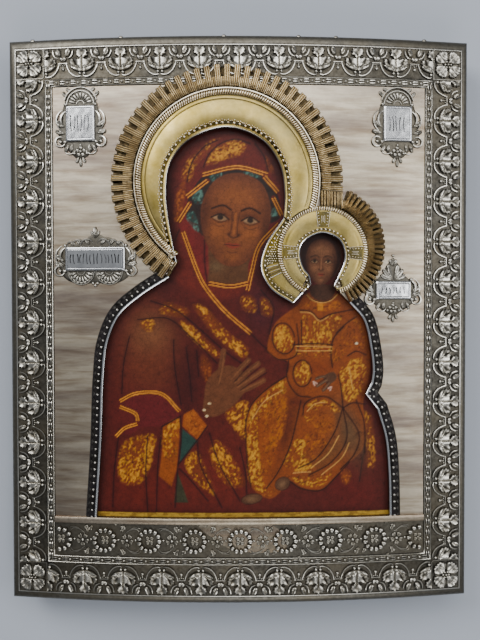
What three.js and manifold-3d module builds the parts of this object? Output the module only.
// Icon panel: a bowed wooden board under a chased silver cover with gilt halos and name plates.
// Millimetres. It lies on its back: +X is its width, +Y its height, +Z comes out of its front.
// Every piece of the front is first made flat, as (across, up, out of the field), and then bowed.

import * as THREE from 'three';
import { mergeVertices } from 'three/addons/utils/BufferGeometryUtils.js';
import Module from 'manifold-3d';

// Driving dimensions of the panel
const panelWidth = 260;          // over the turned-down sheet, along the bowed front
const panelHeight = 313;
const panelDepth = 27;           // from the plain silver field to the back of the board
const bow = 12;                  // how far the middle stands proud of the side edges
const bowFacets = 7;             // flat strips that make the bowed front, an odd number
const sheet = 0.6;               // thickness of the silver
const seatGap = 0.3;             // between two pieces that lie on each other
const edgeRounding = 3.3;        // rounded edge of the cover, seen from the front
const sheetLift = 1;             // the turned-down sheet stops this far above the back

// Driving dimensions of the board
const fieldSink = 2;             // depth of the board's sunk field
const fieldBevel = 2.6;          // width of its sloping edge
const fieldMargin = 24;          // from the side sheets to the sunk field
const fieldTopMargin = 26;

// Driving dimensions of the chased border
const borderWidth = 17.5;
const borderCellsAcross = 10;
const borderCellsUp = 12;
const mouldingWidth = 4.8;
const mouldingHeight = 0.9;
const reliefHeight = 1.3;
const reliefSink = 0.3;          // how deep a chased form is rooted in the sheet
const lowerBandWidth = 18.3;
const lowerBandRings = 9;
const ridgeWidth = 3.4;
const ridgeHeight = 1.6;

// Driving dimensions of the opening and the halos. The figure keeps its outline as shares of its height.
const figureTopGap = 23.5;       // plain silver from the moulding down to the top of the opening
const rimWidth = 1.1;
const rimHeight = 0.7;
const haloBandWidth = 13;        // from the side of the head opening out to the rope ring
const haloRopeWidth = 4.2;
const haloRayLength = 12.7;
const haloRise = 4.3;            // crest of the convex band over the field
const smallBandWidth = 9.5;
const smallRopeWidth = 2.5;
const smallRayLength = 8.7;
const smallRise = 2.6;
const ropeRise = 1.2;            // how far a rope ring stands over what is beside it
const rayPitch = 5.2;            // degrees from one wide ray to the next
const rayLow = 1.2;
const rayHigh = 2.6;
const patchLeft = 1.2;           // upright patch of ridges above the small rope ring
const patchRight = 11.4;
const patchLength = 8.8;
const overhang = 0.5;            // how far the halos reach over the edge of the opening

// Driving dimensions of the name plates and their surrounds. The two lower plates stand clear of the
// halos' rays: a bearing in degrees from the halo's centre leads to the plate's nearest corner.
const plateThickness = 1.5;
const plateBevel = 1.2;
const upperPlate = {
  width: 16.4,
  height: 19.6,
  fromSide: 41.6,
  fromTop: 46,
  crest: { width: 14, height: 8, side: 4.5 },
  drop: { width: 13, height: 17 },
};
const leftPlate = {
  width: 33.8,
  height: 13.2,
  bearing: 212,
  clearance: 2.6,
  crest: { width: 22, height: 12, side: 4 },
  drop: { width: 28, height: 13 },
};
const rightPlate = {
  width: 20.3,
  height: 10.2,
  bearing: -33.6,
  clearance: 0.6,
  crest: { width: 12, height: 14, side: 5 },
  drop: { width: 12, height: 17 },
};

const silver = { color: 0x8f8b84, roughness: 0.42, metalness: 0.9 };
const gilt = { color: 0xb9a468, roughness: 0.36, metalness: 0.9 };
const brightSilver = { color: 0xc9ccd2, roughness: 0.3, metalness: 0.9 };
const wood = { color: 0x5b3a22, roughness: 0.75, metalness: 0 };

const wasm = await Module();
wasm.setup();

// What follows from the driving dimensions
const halfWidth = panelWidth / 2;
const halfHeight = panelHeight / 2;
const borderInnerU = halfWidth - edgeRounding - borderWidth;
const borderInnerV = halfHeight - edgeRounding - borderWidth;
const plainHalfWidth = borderInnerU - mouldingWidth;
const plainHalfHeight = borderInnerV - mouldingWidth;
const ridgeTop = -plainHalfHeight + lowerBandWidth + ridgeWidth;
const figureFoot = ridgeTop;
const figureHeight = plainHalfHeight - figureTopGap - figureFoot;
const headReach = 0.1579 * figureHeight;      // from the large halo's centre to the side of the head opening
const childHeadReach = 0.061 * figureHeight;
const haloRopeRadius = headReach + haloBandWidth + haloRopeWidth;
const haloRayRadius = haloRopeRadius + haloRayLength;
const smallRopeRadius = childHeadReach + smallBandWidth + smallRopeWidth;
const smallRayRadius = smallRopeRadius + smallRayLength;
const frontRadius = (halfWidth * halfWidth + bow * bow) / (2 * bow);
const boardInset = sheet + seatGap;
const boardTop = -boardInset;
const haloFloor = seatGap;

// Closed solids. A loft joins rings of as many points each and closes both ends.

function closedGeometry(points, faces) {
  const geometry = new THREE.BufferGeometry();
  const places = points.flatMap((p) => [p.x, p.y, p.z]);
  geometry.setAttribute('position', new THREE.Float32BufferAttribute(places, 3));
  geometry.setIndex(faces.flat());
  return geometry;
}

// A ring of points at one height, always counter-clockwise as seen from the front
function level(outline, height) {
  const ring = outline.map((p) => new THREE.Vector3(p.x, p.y, height));
  return THREE.ShapeUtils.area(ring) < 0 ? ring.reverse() : ring;
}

function capFaces(ring) {
  return THREE.ShapeUtils.triangulateShape(ring.map((p) => new THREE.Vector2(p.x, p.y)), []);
}

function loft(rings) {
  const count = rings[0].length;
  const faces = [];
  for (let r = 0; r + 1 < rings.length; r += 1) {
    for (let i = 0; i < count; i += 1) {
      const j = (i + 1) % count;
      const a = r * count + i;
      const b = r * count + j;
      faces.push([a, b, b + count], [a, b + count, a + count]);
    }
  }
  const last = (rings.length - 1) * count;
  for (const [a, b, c] of capFaces(rings[0])) faces.push([c, b, a]);
  for (const [a, b, c] of capFaces(rings[rings.length - 1])) faces.push([a + last, b + last, c + last]);
  return closedGeometry(rings.flat(), faces);
}

// A chased form: its outline rises from inside the sheet to one high point
function tent(outline, peak, height) {
  const ring = level(outline, -reliefSink);
  const count = ring.length;
  const faces = ring.map((p, i) => [i, (i + 1) % count, count]);
  for (const [a, b, c] of capFaces(ring)) faces.push([c, b, a]);
  return closedGeometry([...ring, new THREE.Vector3(peak.x, peak.y, height)], faces);
}

// A raised line along a path, with a three-sided section
function raisedLine(path, width, foot, top, closed) {
  const count = path.length;
  const points = [];
  for (let i = 0; i < count; i += 1) {
    const before = path[closed ? (i + count - 1) % count : Math.max(i - 1, 0)];
    const after = path[closed ? (i + 1) % count : Math.min(i + 1, count - 1)];
    const into = path[i].clone().sub(before);
    const out = after.clone().sub(path[i]);
    if (into.length() === 0) into.copy(out);
    if (out.length() === 0) out.copy(into);
    const along = into.normalize().add(out.normalize()).normalize();
    const spread = width / 2 / Math.max(along.dot(out), 0.5);
    const side = new THREE.Vector2(-along.y, along.x).multiplyScalar(spread);
    points.push(new THREE.Vector3(path[i].x - side.x, path[i].y - side.y, foot));
    points.push(new THREE.Vector3(path[i].x, path[i].y, top));
    points.push(new THREE.Vector3(path[i].x + side.x, path[i].y + side.y, foot));
  }
  const faces = [];
  const spans = closed ? count : count - 1;
  for (let i = 0; i < spans; i += 1) {
    for (let k = 0; k < 3; k += 1) {
      const a = i * 3 + k;
      const b = i * 3 + ((k + 1) % 3);
      const c = ((i + 1) % count) * 3 + ((k + 1) % 3);
      const d = ((i + 1) % count) * 3 + k;
      faces.push([a, c, b], [a, d, c]);
    }
  }
  if (!closed) {
    const end = (count - 1) * 3;
    faces.push([0, 1, 2], [end + 2, end + 1, end]);
  }
  return closedGeometry(points, faces);
}

// A band round a rectangle: the section is a closed list of [inset, height], from outside to inside
function rectangleBand(halfU, halfV, section) {
  const corners = [[1, -1], [1, 1], [-1, 1], [-1, -1]];
  const points = corners.flatMap(([su, sv]) => section.map(
    ([inset, height]) => new THREE.Vector3(su * (halfU - inset), sv * (halfV - inset), height)));
  const count = section.length;
  const faces = [];
  for (let i = 0; i < corners.length; i += 1) {
    for (let k = 0; k < count; k += 1) {
      const a = i * count + k;
      const b = i * count + ((k + 1) % count);
      const c = ((i + 1) % corners.length) * count + ((k + 1) % count);
      const d = ((i + 1) % corners.length) * count + k;
      faces.push([a, d, c], [a, c, b]);
    }
  }
  return closedGeometry(points, faces);
}

function rectangle(halfU, halfV, centreU = 0, centreV = 0) {
  const corners = [[-1, -1], [1, -1], [1, 1], [-1, 1]];
  return corners.map(([su, sv]) => new THREE.Vector2(centreU + su * halfU, centreV + sv * halfV));
}

// A slab with rounded front edges
function roundedSlab(halfU, halfV, foot, top, rounding) {
  const steps = 3;
  const rings = [level(rectangle(halfU, halfV), foot)];
  for (let i = 0; i <= steps; i += 1) {
    const turn = (i / steps) * (Math.PI / 2);
    const inset = rounding * (1 - Math.cos(turn));
    rings.push(level(rectangle(halfU - inset, halfV - inset), top - rounding * (1 - Math.sin(turn))));
  }
  return loft(rings);
}

function prism(outline, foot, top) {
  return loft([level(outline, foot), level(outline, top)]);
}

// The bow. A flat point (u, v, h) turns round a line far behind the panel, strip by strip.

const stripWidth = panelWidth / bowFacets;
const stripEdges = Array.from({ length: bowFacets + 1 }, (_, i) => -halfWidth + i * stripWidth);

function bowed(u, v, h) {
  const strip = THREE.MathUtils.clamp(Math.floor((u + halfWidth) / stripWidth), 0, bowFacets - 1);
  const share = (u - stripEdges[strip]) / stripWidth;
  const [start, end] = [stripEdges[strip], stripEdges[strip + 1]].map((edge) => {
    const turn = edge / frontRadius;
    const radius = frontRadius + h;
    return new THREE.Vector3(radius * Math.sin(turn), v, radius * Math.cos(turn) - frontRadius);
  });
  return start.lerp(end, share);
}

// Cuts every face along the strip edges, so that the bow bends at those edges only
function cutAtStrips(points, faces) {
  let loops = faces;
  for (const edge of stripEdges.slice(1, -1)) {
    for (const p of points) if (Math.abs(p.x - edge) < 0.005) p.x = edge;
    const crossings = new Map();
    const crossing = (a, b) => {
      const [low, high] = a < b ? [a, b] : [b, a];
      const key = `${low}:${high}`;
      if (!crossings.has(key)) {
        const [p, q] = [points[low], points[high]];
        const point = p.clone().lerp(q, (edge - p.x) / (q.x - p.x));
        point.x = edge;
        crossings.set(key, points.push(point) - 1);
      }
      return crossings.get(key);
    };
    loops = loops.flatMap((loop) => {
      const sides = loop.map((i) => Math.sign(points[i].x - edge));
      if (!(sides.includes(1) && sides.includes(-1))) return [loop];
      const left = [];
      const right = [];
      loop.forEach((a, k) => {
        const next = (k + 1) % loop.length;
        if (sides[k] <= 0) left.push(a);
        if (sides[k] >= 0) right.push(a);
        if (sides[k] * sides[next] < 0) {
          const middle = crossing(a, loop[next]);
          left.push(middle);
          right.push(middle);
        }
      });
      return [left, right];
    });
  }
  return loops.flatMap((loop) => loop.slice(2).map((c, k) => [loop[0], loop[k + 1], c]));
}

// A closed geometry becomes a solid that can be joined or cut
function toSolid(geometry) {
  const bare = geometry.clone();
  bare.deleteAttribute('normal');
  bare.deleteAttribute('uv');
  const merged = mergeVertices(bare, 1e-5);
  const vertProperties = new Float32Array(merged.attributes.position.array);
  const triVerts = new Uint32Array(merged.index.array);
  return new wasm.Manifold(new wasm.Mesh({ numProp: 3, vertProperties, triVerts }));
}

function joined(geometries) {
  let solids = geometries.map(toSolid);
  while (solids.length > 1) {
    const next = [];
    for (let i = 0; i < solids.length; i += 2) {
      next.push(i + 1 < solids.length ? solids[i].add(solids[i + 1]) : solids[i]);
    }
    solids = next;
  }
  return solids[0];
}

// Tiles each level patch of each strip afresh, with no more triangles than its outline needs
function retiled(points, faces) {
  const middleX = (face) => face.reduce((sum, i) => sum + points[i].x, 0) / 3;
  const stripOf = (face) => Math.floor((middleX(face) + halfWidth) / stripWidth);
  const isLevel = ([a, b, c]) => Math.max(points[a].z, points[b].z, points[c].z)
    - Math.min(points[a].z, points[b].z, points[c].z) < 1e-5;
  const levelKey = (face) => `${stripOf(face)}:${points[face[0]].z.toFixed(4)}`;
  const plain = faces.map((face) => (isLevel(face) ? levelKey(face) : null));
  const onlyLevel = new Array(points.length).fill(true);
  faces.forEach((face, f) => {
    if (plain[f] === null) for (const i of face) onlyLevel[i] = false;
  });
  const isEdge = (x) => stripEdges.some((edge) => edge === x);
  const kept = faces.filter((face, f) => plain[f] === null);
  const sides = new Map();
  faces.forEach((face, f) => {
    if (plain[f] === null) return;
    for (let k = 0; k < 3; k += 1) sides.set(`${face[k]}:${face[(k + 1) % 3]}`, f);
  });
  const seen = new Set();
  for (let start = 0; start < faces.length; start += 1) {
    if (plain[start] === null || seen.has(start)) continue;
    const patch = [start];
    seen.add(start);
    const border = new Map();
    for (const f of patch) {
      for (let k = 0; k < 3; k += 1) {
        const [a, b] = [faces[f][k], faces[f][(k + 1) % 3]];
        const beside = sides.get(`${b}:${a}`);
        if (beside === undefined || plain[beside] !== plain[start]) {
          border.set(a, b);
        } else if (!seen.has(beside)) {
          seen.add(beside);
          patch.push(beside);
        }
      }
    }
    const loops = [];
    while (border.size > 0) {
      const loop = [];
      let at = border.keys().next().value;
      while (border.has(at)) {
        const next = border.get(at);
        border.delete(at);
        if (!(onlyLevel[at] && isEdge(points[at].x))) loop.push(at);
        at = next;
      }
      loops.push(loop);
    }
    const areas = loops.map((loop) => THREE.ShapeUtils.area(loop.map((i) => points[i])));
    const outer = areas.reduce((best, area, i) => (Math.abs(area) > Math.abs(areas[best]) ? i : best), 0);
    const holes = loops.filter((loop, i) => i !== outer);
    const flatLoop = (loop) => loop.map((i) => new THREE.Vector2(points[i].x, points[i].y));
    const all = [loops[outer], ...holes].flat();
    const up = areas[outer] > 0;
    for (const [a, b, c] of THREE.ShapeUtils.triangulateShape(flatLoop(loops[outer]), holes.map(flatLoop))) {
      const [p, q, r] = [all[a], all[b], all[c]];
      const turn = THREE.ShapeUtils.area([points[p], points[q], points[r]]) > 0;
      kept.push(turn === up ? [p, q, r] : [p, r, q]);
    }
  }
  return kept;
}

function bowedMesh(name, solid, finish) {
  const { vertProperties, triVerts } = solid.getMesh();
  const points = [];
  for (let i = 0; i < vertProperties.length; i += 3) {
    points.push(new THREE.Vector3(...vertProperties.slice(i, i + 3)));
  }
  const faces = [];
  for (let i = 0; i < triVerts.length; i += 3) faces.push([...triVerts.slice(i, i + 3)]);
  const tiled = retiled(points, cutAtStrips(points, faces));
  const geometry = closedGeometry(points.map((p) => bowed(p.x, p.y, p.z)), tiled);
  return namedMesh(name, geometry, finish);
}

function namedMesh(name, geometry, finish) {
  const mesh = new THREE.Mesh(geometry, new THREE.MeshStandardMaterial(finish));
  mesh.name = name;
  return mesh;
}

// Outline of the opening, as shares of the figure's height from its foot at the middle of the panel.
// Smooth stretches are curves through a few points.

function curveThrough(shares, steps) {
  const knots = shares.map(([x, y]) => new THREE.Vector3(x * figureHeight, figureFoot + y * figureHeight, 0));
  return new THREE.CatmullRomCurve3(knots).getPoints(steps).map((p) => new THREE.Vector2(p.x, p.y));
}

const leftFlank = [[-0.373, 0], [-0.36, 0.197], [-0.353, 0.362], [-0.342, 0.452], [-0.31, 0.524],
  [-0.252, 0.575], [-0.181, 0.62]];
const headArch = [[-0.161, 0.657], [-0.178, 0.742], [-0.188, 0.836], [-0.178, 0.906], [-0.132, 0.966],
  [-0.032, 1], [0.06, 0.966], [0.104, 0.904], [0.116, 0.832], [0.113, 0.769]];
const haloFlank = [[0.113, 0.769], [0.067, 0.698], [0.055, 0.642], [0.08, 0.592], [0.136, 0.554]];
const childArch = [[0.18, 0.601], [0.176, 0.621], [0.16, 0.643], [0.151, 0.683], [0.163, 0.712],
  [0.211, 0.734], [0.256, 0.715], [0.27, 0.671], [0.253, 0.623], [0.241, 0.598]];
const rightFlank = [[0.283, 0.556], [0.321, 0.511], [0.339, 0.442], [0.346, 0.38], [0.343, 0.349]];
const elbowTip = [0.327, 0.318];
const kneeFlank = [[0.358, 0.279], [0.38, 0.205], [0.389, 0.114], [0.392, 0]];

const openingOutline = [
  ...curveThrough(kneeFlank, 5).reverse(),
  ...curveThrough([elbowTip, elbowTip], 1).slice(0, 1),
  ...curveThrough(rightFlank, 8).reverse(),
  ...curveThrough(childArch, 16).reverse(),
  ...curveThrough(haloFlank, 8).reverse(),
  ...curveThrough(headArch, 20).reverse().slice(1),
  ...curveThrough(leftFlank, 12).reverse(),
];

// Moves an outline sideways: a positive distance makes it larger
function grown(outline, distance) {
  const count = outline.length;
  return outline.map((p, i) => {
    const into = p.clone().sub(outline[(i + count - 1) % count]).normalize();
    const out = outline[(i + 1) % count].clone().sub(p).normalize();
    const along = into.clone().add(out).normalize();
    const spread = distance / Math.max(along.dot(out), 0.6);
    return new THREE.Vector2(p.x + along.y * spread, p.y - along.x * spread);
  });
}

// Chased forms of the border. A run of the border is told by its start and direction, and every
// form in it by its distance along the run and out from the moulding.

function placed(run, along, out) {
  const side = new THREE.Vector2(run.direction.y, -run.direction.x);
  return run.start.clone().addScaledVector(run.direction, along).addScaledVector(side, out);
}

function placedForm(run, along, out, width, height, shares, peak, rise) {
  const at = ([x, y]) => placed(run, along + x * width, out + y * height);
  return tent(shares.map(at), at(peak), rise);
}

const halfLeaf = [[0.3, 0.04], [0.5, 0.3], [0.43, 0.53], [0.23, 0.52], [0.25, 0.82]];
const leafShares = [[0, 0], ...halfLeaf, [0, 1], ...halfLeaf.map(([x, y]) => [-x, y]).reverse()];
const leafPeak = [0, 0.42];
const rightHalfLeaf = [[0.02, 0], ...halfLeaf, [0.02, 1]];
const halfLeafPeak = [0.12, 0.42];
const flowerShares = [[0, 0], [0.5, 0.5], [0.3, 1], [0, 0.62], [-0.3, 1], [-0.5, 0.5]];
const beadShares = [[0, -0.5], [0.5, 0], [0, 0.5], [-0.5, 0]];

function bead(run, along, out, size) {
  return placedForm(run, along, out, size, size, beadShares, [0, 0], reliefHeight * 0.75);
}

function borderRun(run, cells) {
  const pitch = run.length / cells;
  const leafWidth = pitch * 0.68;
  const leafHeight = borderWidth * 0.79;
  const leafFoot = borderWidth * 0.18;
  const forms = [];
  const wave = [];
  const lowWave = borderWidth * 0.07;
  const midWave = borderWidth * 0.22;
  const highWave = borderWidth * 0.48;
  for (let i = 0; i <= cells; i += 1) {
    const along = i * pitch;
    if (i > 0) {
      wave.push(placed(run, along - pitch * 0.38, highWave), placed(run, along - pitch * 0.29, midWave));
      forms.push(placedForm(run, along - pitch / 2, borderWidth * 0.56, pitch * 0.42, borderWidth * 0.4,
        flowerShares, [0, 0.4], reliefHeight));
    }
    wave.push(placed(run, along, lowWave));
    if (i < cells) {
      wave.push(placed(run, along + pitch * 0.29, midWave), placed(run, along + pitch * 0.38, highWave));
    }
    if (i > 0 && i < cells) {
      forms.push(placedForm(run, along, leafFoot, leafWidth, leafHeight, leafShares, leafPeak, reliefHeight));
    }
  }
  forms.push(placedForm(run, 0, leafFoot, leafWidth, leafHeight, rightHalfLeaf, halfLeafPeak, reliefHeight));
  const leftHalfLeaf = rightHalfLeaf.map(([x, y]) => [-x, y]).reverse();
  forms.push(placedForm(run, run.length, leafFoot, leafWidth, leafHeight, leftHalfLeaf,
    [-halfLeafPeak[0], halfLeafPeak[1]], reliefHeight));
  forms.push(raisedLine(wave, borderWidth * 0.08, -reliefSink, reliefHeight * 0.7, false));
  return forms;
}

function cornerFlower(centreU, centreV) {
  const reach = borderWidth * 0.46;
  const petal = [[0.1, 0], [0.34, 0.5], [0.3, 0.9], [0, 0.8], [-0.3, 0.9], [-0.34, 0.5], [-0.1, 0]];
  const forms = [];
  for (let i = 0; i < 4; i += 1) {
    const turn = Math.PI / 4 + (i * Math.PI) / 2;
    const direction = new THREE.Vector2(-Math.sin(turn), Math.cos(turn));
    const run = { start: new THREE.Vector2(centreU, centreV), direction };
    forms.push(placedForm(run, 0, borderWidth * 0.08, reach, reach, petal, [0, 0.55], reliefHeight));
  }
  const centre = { start: new THREE.Vector2(centreU, centreV), direction: new THREE.Vector2(1, 0) };
  forms.push(bead(centre, 0, 0, borderWidth * 0.24));
  return forms;
}

function roundPath(centre, radius, sides, from = 0, to = 360) {
  const closed = Math.abs(to - from) >= 360;
  return Array.from({ length: closed ? sides : sides + 1 }, (_, i) => {
    const turn = THREE.MathUtils.degToRad(from + ((to - from) * i) / sides);
    return new THREE.Vector2(centre.x + radius * Math.cos(turn), centre.y + radius * Math.sin(turn));
  });
}

// Lower band: rings of beads with small flowers between them
function lowerBand() {
  const cutAtEnds = 0.26;
  const pitch = (2 * plainHalfWidth) / (lowerBandRings - cutAtEnds);
  const middle = -plainHalfHeight + lowerBandWidth * 0.51;
  const ringRadius = lowerBandWidth * 0.3;
  const forms = [];
  const five = Array.from({ length: 10 }, (_, i) => {
    const turn = (i / 10) * 2 * Math.PI;
    const reach = i % 2 ? 0.28 : 0.5;
    return [-reach * Math.sin(turn), -reach * Math.cos(turn)];
  });
  for (let i = 0; i < lowerBandRings; i += 1) {
    const u = (i - (lowerBandRings - 1) / 2) * pitch;
    const edgeShort = i === 0 || i === lowerBandRings - 1;
    const centre = new THREE.Vector2(u, middle);
    const run = { start: centre, direction: new THREE.Vector2(-1, 0) };
    const turn = i === 0 ? -108 : 72;
    const part = roundPath(centre, ringRadius, 6, turn, turn + 216);
    const path = edgeShort ? part : roundPath(centre, ringRadius, 10);
    forms.push(raisedLine(path, lowerBandWidth * 0.12, -reliefSink, reliefHeight * 0.8, !edgeShort));
    forms.push(bead(run, 0, 0, lowerBandWidth * 0.26));
    if (i > 0) {
      forms.push(placedForm(run, pitch / 2, 0, lowerBandWidth * 0.36, lowerBandWidth * 0.36, five, [0, 0],
        reliefHeight));
    }
  }
  return forms;
}

// Chased scroll surround of a name plate: a crest above, leaves at the sides and a drop below
function surround(centre, plate) {
  const { crest, drop } = plate;
  const up = { start: centre, direction: new THREE.Vector2(-1, 0) };
  const down = { start: centre, direction: new THREE.Vector2(1, 0) };
  const halfW = plate.width / 2;
  const halfH = plate.height / 2;
  const fan = [[-0.5, -0.1], [-0.46, 0.45], [-0.26, 0.86], [0, 1], [0.26, 0.86], [0.46, 0.45], [0.5, -0.1]];
  const sideLeaf = [[0, -0.5], [0.5, -0.2], [0.42, 0.3], [0, 0.5]];
  const forms = [
    placedForm(up, 0, halfH, crest.width, crest.height, fan, [0, 0.5], reliefHeight),
    placedForm(down, 0, halfH, drop.width, drop.height * 0.5, fan, [0, 0.5], reliefHeight),
    placedForm(down, 0, halfH + drop.height * 0.45, drop.width * 0.4, drop.height * 0.5, fan, [0, 0.4],
      reliefHeight),
  ];
  for (const side of [-1, 1]) {
    const edge = { start: centre.clone(), direction: new THREE.Vector2(0, side) };
    forms.push(placedForm(edge, plate.height * 0.2 * side, halfW, plate.height * 0.5, crest.side, sideLeaf,
      [0.2, 0], reliefHeight));
    forms.push(placedForm(edge, -plate.height * 0.3 * side, halfW, plate.height * 0.42, crest.side * 1.2,
      sideLeaf, [0.2, 0], reliefHeight));
  }
  return forms;
}

// The halos. Their centres are shares of the figure's height, as the opening is. Their ends are in degrees.

const haloCentre = curveThrough([[-0.032, 0.862], [-0.032, 0.862]], 1)[0];
const smallCentre = curveThrough([[0.212, 0.684], [0.212, 0.684]], 1)[0];
const smallRayCentre = curveThrough([[0.2185, 0.698], [0.2185, 0.698]], 1)[0];
const bandFrom = -62;
const haloFrom = -5;
const haloTo = 238.5;
const smallFrom = -66;
const smallTo = 68;
const flankFrom = 138;
const flankTo = 246;
const roomTurn = 1;              // how far a piece's room goes on past its ends, in degrees
const flankRadius = smallRopeRadius * 1.4;
const bandInnerRadius = (haloRopeRadius - haloRopeWidth) * 0.62;
const coreRadius = 1;            // where a sector that stands for the whole halo begins

// Where the name plates sit on the flat front
function upperPlateCentre(side) {
  return new THREE.Vector2(side * (halfWidth - upperPlate.fromSide), halfHeight - upperPlate.fromTop);
}

function lowerPlateCentre(plate, from, rayRadius) {
  const turn = THREE.MathUtils.degToRad(plate.bearing);
  const direction = new THREE.Vector2(Math.cos(turn), Math.sin(turn));
  const corner = from.clone().addScaledVector(direction, rayRadius + plate.clearance);
  const half = new THREE.Vector2(Math.sign(direction.x) * plate.width / 2, -plate.height / 2);
  return corner.add(half);
}

const plates = [
  { name: 'name_plate_upper_left', size: upperPlate, centre: upperPlateCentre(-1) },
  { name: 'name_plate_upper_right', size: upperPlate, centre: upperPlateCentre(1) },
  { name: 'name_plate_left', size: leftPlate, centre: lowerPlateCentre(leftPlate, haloCentre, haloRayRadius) },
  {
    name: 'name_plate_right',
    size: rightPlate,
    centre: lowerPlateCentre(rightPlate, smallRayCentre, smallRayRadius),
  },
];

// A flat ring sector that stands on the field, used to cut and to carry
function sector(centre, inner, outer, from, to, sides, foot, top) {
  const path = [...roundPath(centre, outer, sides, from, to), ...roundPath(centre, inner, sides, to, from)];
  return prism(path, foot, top);
}

// Rays: a ring sector whose top goes up and down from ray to ray
function rays(centre, inner, outer, from, to) {
  const count = Math.round((to - from) / (rayPitch / 2));
  const low = [];
  const top = [];
  for (let i = 0; i <= count; i += 1) {
    const turn = THREE.MathUtils.degToRad(from + ((to - from) * i) / count);
    const direction = new THREE.Vector2(Math.cos(turn), Math.sin(turn));
    const height = i % 2 ? rayHigh : rayLow;
    const reach = i % 2 ? outer : outer * 0.985;
    const [a, b] = [inner, reach].map((r) => centre.clone().addScaledVector(direction, r));
    low.push(new THREE.Vector3(a.x, a.y, haloFloor), new THREE.Vector3(b.x, b.y, haloFloor));
    top.push(new THREE.Vector3(a.x, a.y, height), new THREE.Vector3(b.x, b.y, height));
  }
  const base = low.length;
  const faces = [];
  for (let i = 0; i < count; i += 1) {
    const [a, b, c, d] = [2 * i, 2 * i + 1, 2 * i + 3, 2 * i + 2];
    faces.push([a, d, c], [a, c, b]);
    faces.push([a + base, b + base, c + base], [a + base, c + base, d + base]);
    faces.push([b, c, c + base], [b, c + base, b + base]);
    faces.push([d, a, a + base], [d, a + base, d + base]);
  }
  const end = 2 * count;
  faces.push([0, 1, 1 + base], [0, 1 + base, base]);
  faces.push([end + 1, end, end + base], [end + 1, end + base, end + 1 + base]);
  return closedGeometry([...low, ...top], faces);
}

// A turned ring: the section is a closed list of [radius, height]
function turnedRing(centre, section, sides) {
  const profile = [...section, section[0]].map(([r, h]) => new THREE.Vector2(r, h));
  const ring = new THREE.LatheGeometry(profile, sides);
  ring.rotateX(Math.PI / 2);
  ring.translate(centre.x, centre.y, 0);
  return ring;
}

const openingUnderHalos = toSolid(prism(grown(openingOutline, -overhang), -panelDepth, panelDepth));

// The upright patch of ridges, from the small halo's middle to past its rope ring
function patchOutline(gap) {
  const foot = smallCentre.y + (gap > 0 ? 0 : patchLeft);
  const top = smallCentre.y + smallRopeRadius + patchLength + gap;
  const left = smallCentre.x - patchLeft - gap;
  const right = smallCentre.x + patchRight + gap;
  return [[left, foot], [right, foot], [right, top], [left, top]].map(([x, y]) => new THREE.Vector2(x, y));
}

// A pie-shaped outline about a centre
function pie(centre, radius, sides, from, to) {
  return roundPath(centre, radius, sides, from, to).concat([centre]);
}

function smallHaloSolid() {
  const ropeInner = smallRopeRadius - smallRopeWidth;
  const underRope = smallRopeRadius - smallRopeWidth * 0.7;
  const carrier = joined([
    rays(smallRayCentre, smallRopeRadius * 0.8, smallRayRadius, smallFrom, smallTo),
    prism(roundPath(smallCentre, smallRopeRadius + seatGap, 40), haloFloor, rayLow),
    prism(pie(smallCentre, flankRadius, 20, flankFrom, flankTo), haloFloor, rayHigh),
    prism(patchOutline(0), haloFloor, rayLow),
    prism(roundPath(smallCentre, underRope, 32), haloFloor, smallRise),
  ]);
  const rope = toSolid(turnedRing(smallCentre, [[ropeInner, haloFloor], [smallRopeRadius, haloFloor],
    [smallRopeRadius, smallRise], [smallRopeRadius - smallRopeWidth / 2, smallRise + ropeRise],
    [ropeInner, smallRise]], 40));
  return carrier.add(rope).subtract(openingUnderHalos);
}

function largeHaloSolid(smallEnvelope) {
  const ropeInner = haloRopeRadius - haloRopeWidth;
  const ropeMiddle = haloRopeRadius - haloRopeWidth / 2;
  const edgeRise = haloRise * 0.6;
  const band = toSolid(turnedRing(haloCentre, [[bandInnerRadius, haloFloor], [haloRopeRadius, haloFloor],
    [haloRopeRadius, edgeRise], [ropeMiddle, edgeRise + ropeRise], [ropeInner, edgeRise],
    [ropeInner * 0.86, haloRise], [bandInnerRadius, edgeRise]], 36));
  const keep = toSolid(sector(haloCentre, coreRadius, haloRayRadius * 1.1, bandFrom, haloTo, 40, 0,
    panelDepth));
  const rayRing = toSolid(rays(haloCentre, haloRopeRadius * 0.97, haloRayRadius, haloFrom, haloTo));
  return band.intersect(keep).add(rayRing).subtract(openingUnderHalos).subtract(smallEnvelope);
}

// Room that a piece needs on the field, with the seat gap all round it
function haloRoom() {
  return joined([
    sector(haloCentre, coreRadius, haloRayRadius + seatGap, haloFrom - roomTurn / 2, haloTo + roomTurn / 2, 60,
      0, panelDepth),
    sector(haloCentre, coreRadius, haloRopeRadius + seatGap, bandFrom - roomTurn / 2, haloFrom, 12, 0,
      panelDepth),
  ]).add(smallRoom());
}

function smallRoom() {
  const rayRoom = pie(smallRayCentre, smallRayRadius + seatGap, 30, smallFrom - roomTurn, smallTo + roomTurn);
  const flankRoom = pie(smallCentre, flankRadius + seatGap, 20, flankFrom - roomTurn, flankTo + roomTurn);
  return joined([
    prism(rayRoom, 0, panelDepth),
    prism(roundPath(smallCentre, smallRopeRadius + 2 * seatGap, 40), 0, panelDepth),
    prism(flankRoom, 0, panelDepth),
    prism(patchOutline(seatGap), 0, panelDepth),
  ]);
}

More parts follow.
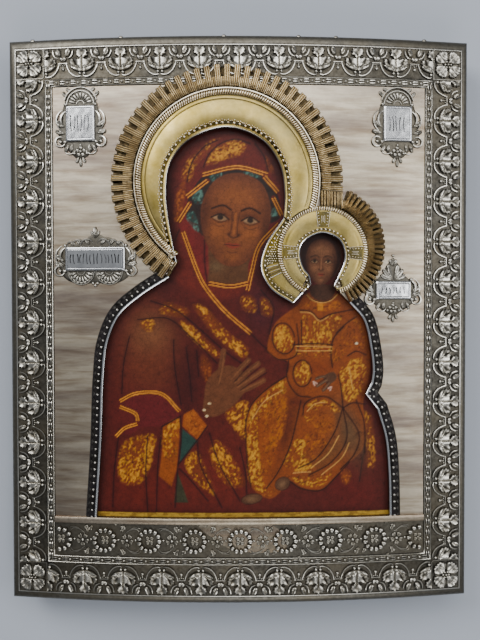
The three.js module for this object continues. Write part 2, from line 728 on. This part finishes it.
function coverSolid() {
  const foot = -panelDepth + sheetLift;
  const outside = toSolid(roundedSlab(halfWidth, halfHeight, foot, 0, edgeRounding));
  const hollow = toSolid(roundedSlab(halfWidth - sheet, halfHeight - sheet, foot - panelDepth, -sheet,
    edgeRounding - sheet));
  const shell = outside.subtract(hollow);
  const inner = [borderInnerU, borderInnerV];
  const mouldingSection = [[0, -reliefSink], [mouldingWidth * 0.2, mouldingHeight],
    [mouldingWidth * 0.8, mouldingHeight], [mouldingWidth, -reliefSink]];
  const bandTop = -plainHalfHeight + lowerBandWidth;
  const ridge = prism(rectangle(plainHalfWidth, ridgeWidth / 2, 0, bandTop + ridgeWidth / 2), -reliefSink,
    ridgeHeight);
  const forms = [
    ...borderRun({ start: new THREE.Vector2(inner[0], inner[1]), direction: new THREE.Vector2(-1, 0),
      length: 2 * inner[0] }, borderCellsAcross),
    ...borderRun({ start: new THREE.Vector2(-inner[0], -inner[1]), direction: new THREE.Vector2(1, 0),
      length: 2 * inner[0] }, borderCellsAcross),
    ...borderRun({ start: new THREE.Vector2(-inner[0], inner[1]), direction: new THREE.Vector2(0, -1),
      length: 2 * inner[1] }, borderCellsUp),
    ...borderRun({ start: new THREE.Vector2(inner[0], -inner[1]), direction: new THREE.Vector2(0, 1),
      length: 2 * inner[1] }, borderCellsUp),
    ...[[-1, -1], [1, -1], [1, 1], [-1, 1]].flatMap(([su, sv]) => cornerFlower(
      su * (inner[0] + borderWidth / 2), sv * (inner[1] + borderWidth / 2))),
    ...lowerBand(),
    ...plates.flatMap(({ size, centre }) => surround(centre, size)),
    rectangleBand(inner[0], inner[1], mouldingSection),
    ridge,
    raisedLine(grown(openingOutline, rimWidth / 2), rimWidth, -reliefSink, rimHeight, true),
  ];
  const plateRoom = joined(plates.map(({ size, centre }) => prism(rectangle(size.width / 2 + 2 * seatGap,
    size.height / 2 + 2 * seatGap, centre.x, centre.y), 0, panelDepth)));
  const relief = joined(forms).subtract(haloRoom()).subtract(plateRoom);
  return shell.add(relief).subtract(toSolid(prism(openingOutline, -panelDepth, panelDepth)));
}

function boardSolid() {
  const board = toSolid(roundedSlab(halfWidth - boardInset, halfHeight - boardInset, -panelDepth, boardTop,
    edgeRounding - boardInset));
  const top = halfHeight - fieldTopMargin;
  const bottom = ridgeTop;
  const half = halfWidth - fieldMargin;
  const middle = (top + bottom) / 2;
  const tall = (top - bottom) / 2;
  const floor = level(rectangle(half - fieldBevel, tall - fieldBevel, 0, middle), boardTop - fieldSink);
  const rise = fieldSink / fieldBevel;
  const mouth = rectangle(half + fieldBevel, tall + fieldBevel, 0, middle);
  return board.subtract(toSolid(loft([floor, level(mouth, boardTop + fieldBevel * rise)])));
}

function platePiece(size) {
  const face = rectangle(size.width / 2, size.height / 2);
  const top = rectangle(size.width / 2 - plateBevel, size.height / 2 - plateBevel);
  const edge = plateThickness - plateBevel / 2;
  return loft([level(face, 0), level(face, edge), level(top, plateThickness)]);
}

// Assembly: the group lifts the panel so that the back edges of the board's two sides lie at zero

const group = new THREE.Group();
group.name = 'icon_panel';
const panel = new THREE.Group();
panel.position.set(0, 0, -bowed(halfWidth - boardInset, 0, -panelDepth).z);
group.add(panel);

panel.add(bowedMesh('icon_board', boardSolid(), wood));
panel.add(bowedMesh('silver_cover', coverSolid(), silver));
panel.add(bowedMesh('large_halo', largeHaloSolid(smallRoom()), gilt));
panel.add(bowedMesh('small_halo', smallHaloSolid(), gilt));

for (const { name, size, centre } of plates) {
  const mesh = namedMesh(name, platePiece(size), brightSilver);
  const turn = centre.x / frontRadius;
  const radius = frontRadius + seatGap;
  mesh.position.set(radius * Math.sin(turn), centre.y, radius * Math.cos(turn) - frontRadius);
  mesh.rotation.y = turn;
  panel.add(mesh);
}

export default group;
